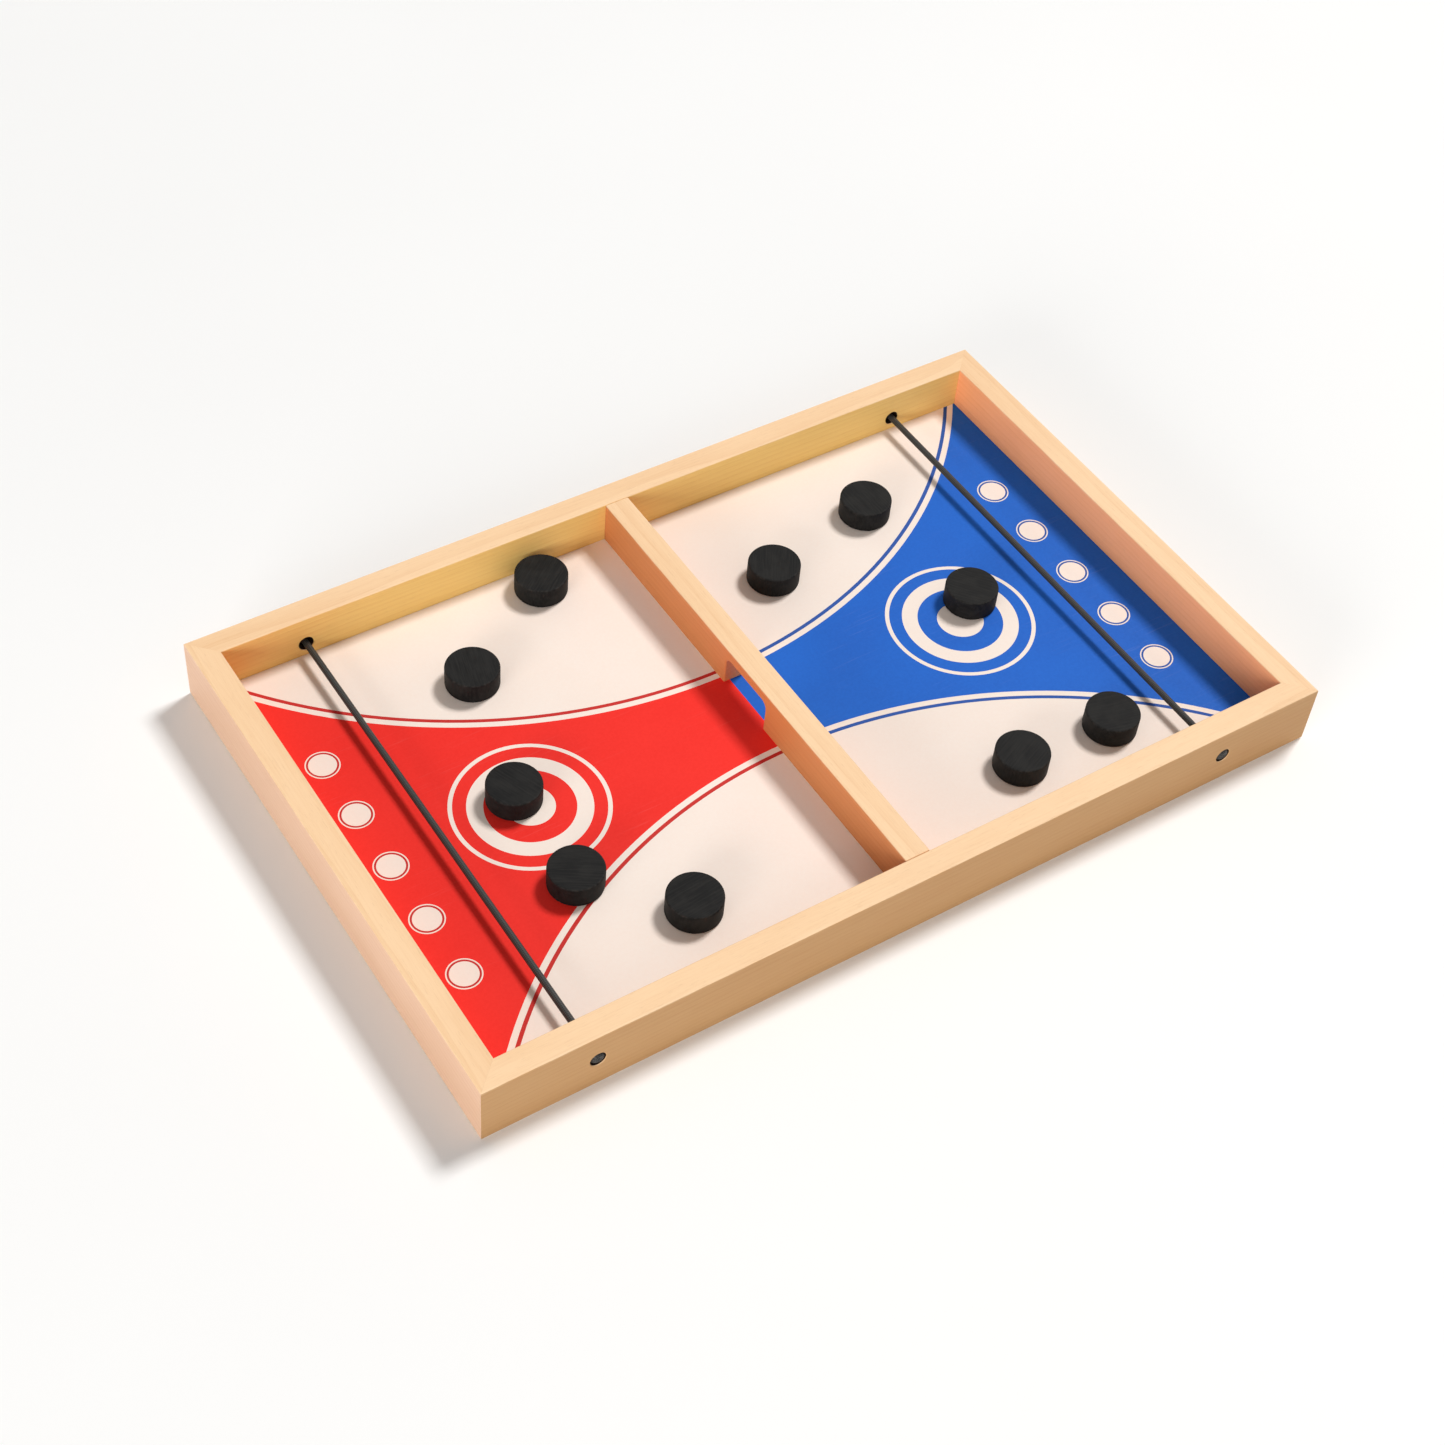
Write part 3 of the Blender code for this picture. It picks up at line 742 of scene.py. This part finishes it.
def court_mesh():
    """The printed sheet. The edges of its top faces follow the print, so that each ink has its own faces."""
    middle_x, middle_y = PRINT_MIDDLE
    half_x = (INNER_LENGTH / 2 - FIT) / MM
    half_y = (INNER_WIDTH / 2 - FIT) / MM
    left = -half_x - middle_x
    right = half_x - middle_x
    front = -half_y - middle_y
    back = half_y - middle_y
    border = [(left, front), (right, front), (right, back), (left, back)]
    points, edges = [], []
    for line, closed in [(border, True), *print_lines()]:
        first = len(points)
        points.extend(Vector(point) for point in line)
        edges.extend((first + index, first + index + 1) for index in range(len(line) - 1))
        if closed:
            edges.append((len(points) - 1, first))
    found, _, faces, *_ = delaunay_2d_cdt(points, edges, [], 0, SAME_POINT)
    shape = bmesh.new()
    corners = [
        shape.verts.new(((point.x + middle_x) * MM, (point.y + middle_y) * MM, COURT_TOP)) for point in found
    ]
    for face in faces:
        x = sum(found[index].x for index in face) / len(face)
        y = sum(found[index].y for index in face) / len(face)
        if left < x < right and front < y < back:
            shape.faces.new([corners[index] for index in face]).material_index = printed_colour(x, y)
    loose = [vertex for vertex in shape.verts if not vertex.link_faces]
    bmesh.ops.delete(shape, geom=loose, context="VERTS")
    rim = rim_loops(shape)
    lowered = {loop.vert: shape.verts.new((*loop.vert.co.xy, SHEET_BOTTOM)) for loop in rim}
    for loop in rim:
        first, second = loop.vert, loop.link_loop_next.vert
        wall = shape.faces.new((second, first, lowered[first], lowered[second]))
        wall.material_index = loop.face.material_index
    shape.faces.new([lowered[loop.vert] for loop in reversed(rim)])
    return new_mesh("court", shape)


def make_court():
    mesh = court_mesh()
    for seed, (name, colour, dark) in enumerate(INKS):
        mesh.materials.append(ink(name, colour, dark, seed))
    piece("court_print", mesh, None, "tray", "printed_sheet", "court_sheet")


def tube(name, line, radius, sides, end_round=0.0):
    """A round cord along a line of points. U runs once round it, and V along it in metres.

    end_round is how far its ends are eased.
    """
    line = [Vector(point) for point in line]
    rings, runs = [], []
    run = 0.0
    across = None
    for index, point in enumerate(line):
        ahead = (line[min(index + 1, len(line) - 1)] - line[max(index - 1, 0)]).normalized()
        if across is None:
            across = ahead.orthogonal().normalized()
        across = (across - ahead * across.dot(ahead)).normalized()
        other = ahead.cross(across)
        if index:
            run += (point - line[index - 1]).length
        angles = [2 * pi * step / sides for step in range(sides)]
        rings.append([point + (across * cos(a) + other * sin(a)) * radius for a in angles])
        runs.append(run)
    if end_round:
        for end, inward in ((0, 1), (-1, -1)):
            towards = (line[end + inward] - line[end]).normalized()
            centre = line[end]
            narrow = [centre + (corner - centre) * (1 - end_round / radius) for corner in rings[end]]
            shoulder = [corner + towards * end_round for corner in rings[end]]
            rings[end] = shoulder
            if end == 0:
                rings.insert(0, narrow)
                runs.insert(0, 0.0)
            else:
                rings.append(narrow)
                runs.append(run)
    mesh = lofted(name, rings)
    coordinates = mesh.uv_layers.new(name="UVMap")
    for face in mesh.polygons:
        indices = [mesh.loops[loop].vertex_index for loop in face.loop_indices]
        steps = [index % sides for index in indices]
        wraps = len(indices) == 4 and 0 in steps and sides - 1 in steps
        for loop, index, step in zip(face.loop_indices, indices, steps):
            around = (sides if wraps and step == 0 else step) / sides
            coordinates.data[loop].uv = (around, runs[index // sides])
    return mesh


def sling_ends():
    """The four places where a sling meets a rail: the sling's name, its X, and the rail's name and side."""
    for end, x in (("left", -SLING_X), ("right", SLING_X)):
        for rail, side in (("back", 1), ("front", -1)):
            yield f"{end}_sling", x, rail, side


def make_slings():
    """Each sling's two halves. A half runs from the middle into a rail."""
    elastic = braided_elastic("black_elastic", strands=6, pitch=1.5 * MM)
    start = FIT / 2
    count = round(RUN_END / CORD_STEP)
    reaches = [start + (RUN_END - start) * index / count for index in range(count + 1)]
    for sling, x, rail, side in sling_ends():
        name = f"{sling}_{rail}_cord"
        mesh = tube(name, [(x, side * reach, SLING_Z) for reach in reaches], CORD / 2, CORD_SIDES)
        cord = piece(name, mesh, elastic, None, "elastic", f"{sling}_middle", f"{sling}_{rail}_run")
        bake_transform(cord)


def knot_line():
    """The cord's end in the rail, with Z outwards along the hole: through the bore, round, and tucked in."""
    points = [(0.0, 0.0, MOUTH_DEPTH - RAIL), (0.0, 0.0, -COUNTERBORE_DEPTH - KNOT_ENTRY)]
    for step in range(KNOT_STEPS + 1):
        share = step / KNOT_STEPS
        angle = KNOT_TURNS * 2 * pi * share
        opening = min(1.0, share / KNOT_OPEN_BY)
        tucked = max(0.0, (share - KNOT_TUCK_FROM) / (1 - KNOT_TUCK_FROM))
        radius = KNOT_RADIUS * opening * (1 - KNOT_TUCK * tucked**2)
        rise = KNOT_LOW + (KNOT_HIGH - KNOT_LOW) * share
        points.append((radius * cos(angle), radius * sin(angle), rise))
    return points


def make_knots():
    """The knotted end of each sling, pulled up inside the counterbore of its rail."""
    covered = braided_elastic("knotted_elastic", strands=5, pitch=1.2 * MM)
    for sling, x, rail, side in sling_ends():
        name = f"{sling}_{rail}_knot"
        mesh = tube(name, knot_line(), KNOT_CORD / 2, KNOT_SIDES, KNOT_END_ROUND)
        outwards = Matrix.Rotation(-side * pi / 2, 4, "X")
        place = Matrix.Translation((x, side * WIDTH / 2, SLING_Z)) @ outwards
        piece(name, mesh, covered, "tray", "cord_knot", f"{sling}_{rail}_stop", place=place)


def make_pucks():
    """Ten turned pucks, each with its grain turned another way."""
    finish = black_stained_wood()
    outline = rounded_outline(
        (
            (-PUCK_RADIUS, PUCK_HALF_HEIGHT, PUCK_EASE),
            (PUCK_RADIUS, PUCK_HALF_HEIGHT, PUCK_EASE),
            (PUCK_RADIUS, -PUCK_HALF_HEIGHT, PUCK_EASE),
            (-PUCK_RADIUS, -PUCK_HALF_HEIGHT, PUCK_EASE),
        )
    )
    right_side = [(x, z) for x, z in outline if x > 0]
    profile = [(0.0, PUCK_HALF_HEIGHT), *right_side, (0.0, -PUCK_HALF_HEIGHT)]
    for team, team_turn in (("red", 0), ("blue", BLUE_PUCK_TURN)):
        for number in range(1, PUCKS_EACH + 1):
            node = f"{team}_half_puck_{number}"
            body = f"{team}_puck_{number}"
            name = body + "_turned"
            low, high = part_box(node)
            centre = ((low.x + high.x) / 2, (low.y + high.y) / 2, PUCK_MIDDLE)
            turn = Matrix.Rotation(radians(PUCK_TURN * number + team_turn), 4, "Z")
            place = Matrix.Translation(centre) @ turn
            puck = piece(name, turned(name, profile, PUCK_SIDES), finish, body, "puck", node, place=place)
            weigh_normals(puck)


def finish_nodes():
    """Gives the solids that stay in sight, all underneath, their finishes."""
    board = hardboard()
    steel = zinc_plated_steel()
    for name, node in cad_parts.items():
        if name == "base_panel":
            finish = board
        elif name.endswith("_corner_nail") or name.startswith("divider_screw"):
            finish = steel
        else:
            continue
        node.data.materials.clear()
        node.data.materials.append(finish)


def make_floor():
    """A wide pale floor, faintly clouded."""
    shape = bmesh.new()
    bmesh.ops.create_grid(shape, x_segments=1, y_segments=1, size=FLOOR_HALF_SIZE)
    graph = Graph("pale_floor")
    cloud = graph.noise(graph.place(), 3.0, 2.0)
    finish = graph.finish(graph.mix(graph.ramp(cloud, 0.3, 0.7), FLOOR, FLOOR_CLOUD), 0.6)
    mesh = new_mesh("floor", shape)
    mesh.materials.append(finish)
    floor = bpy.data.objects.new("floor", mesh)
    floor.location.z = FLOOR_Z
    bpy.context.scene.collection.objects.link(floor)


def add_lamp(name, azimuth, elevation, distance, size, power, colour):
    """A soft square lamp that looks at the object. Azimuth 0 is on the +X side, and 90 on the +Y side."""
    lamp = bpy.data.lights.new(name, "AREA")
    lamp.shape = "SQUARE"
    lamp.size = size
    lamp.energy = power
    lamp.color = colour
    obj = bpy.data.objects.new(name, lamp)
    a, e = radians(azimuth), radians(elevation)
    towards = Vector((cos(e) * cos(a), cos(e) * sin(a), sin(e)))
    obj.location = towards * distance
    obj.rotation_mode = "QUATERNION"
    obj.rotation_quaternion = towards.to_track_quat("Z", "Y")
    bpy.context.scene.collection.objects.link(obj)


def light_the_scene():
    """An even surround, a soft key lamp beyond the right end and a weak fill at the front left.

    The surround is white where the camera, a reflection or glass shows it, and lights the scene more weakly.
    """
    world = bpy.data.worlds.new("surround")
    bpy.context.scene.world = world
    world.use_nodes = True
    tree = world.node_tree
    surround = tree.nodes["Background"]
    path = tree.nodes.new("ShaderNodeLightPath")
    seen = path.outputs["Is Camera Ray"]
    for ray in ("Is Glossy Ray", "Is Transmission Ray"):
        either = tree.nodes.new("ShaderNodeMath")
        either.operation = "MAXIMUM"
        tree.links.new(seen, either.inputs[0])
        tree.links.new(path.outputs[ray], either.inputs[1])
        seen = either.outputs[0]
    strength = tree.nodes.new("ShaderNodeMapRange")
    strength.inputs["To Min"].default_value = SURROUND_LIGHT
    strength.inputs["To Max"].default_value = 1.0
    tree.links.new(seen, strength.inputs["Value"])
    tree.links.new(strength.outputs[0], surround.inputs["Strength"])
    surround.inputs["Color"].default_value = (1.0, 0.99, 0.98, 1.0)
    key_place = {"azimuth": 14, "elevation": 56, "distance": 7.2}
    fill_place = {"azimuth": 207, "elevation": 10, "distance": 2.4}
    add_lamp("key", **key_place, size=1.5, power=376.0, colour=(1.0, 0.995, 0.99))
    add_lamp("fill", **fill_place, size=1.2, power=45.0, colour=(1.0, 0.99, 0.98))


def place_camera():
    """The camera looks down from the front left, and is turned a little about its line of sight."""
    back = Vector(
        (
            sin(CAMERA_AZIMUTH) * cos(CAMERA_ELEVATION),
            -cos(CAMERA_AZIMUTH) * cos(CAMERA_ELEVATION),
            sin(CAMERA_ELEVATION),
        )
    )
    level = Vector((cos(CAMERA_AZIMUTH), sin(CAMERA_AZIMUTH), 0.0))
    above = back.cross(level)
    right = level * cos(CAMERA_ROLL) + above * sin(CAMERA_ROLL)
    up = above * cos(CAMERA_ROLL) - level * sin(CAMERA_ROLL)
    eye = right * CAMERA_RIGHT + up * CAMERA_UP + back * CAMERA_DISTANCE
    lens = bpy.data.cameras.new("camera")
    lens.sensor_width = SENSOR
    lens.lens = FOCAL_PIXELS / IMAGE_SIDE * SENSOR
    lens.clip_start = 0.01
    lens.clip_end = 50.0
    camera = bpy.data.objects.new("camera", lens)
    camera.matrix_world = Matrix.Translation(eye) @ Matrix((right, up, back)).transposed().to_4x4()
    bpy.context.scene.collection.objects.link(camera)
    bpy.context.scene.camera = camera


place_camera()
make_rails()
make_divider()
make_court()
make_slings()
make_knots()
make_pucks()
finish_nodes()
make_floor()
light_the_scene()
bpy.context.scene.view_settings.view_transform = "Standard"
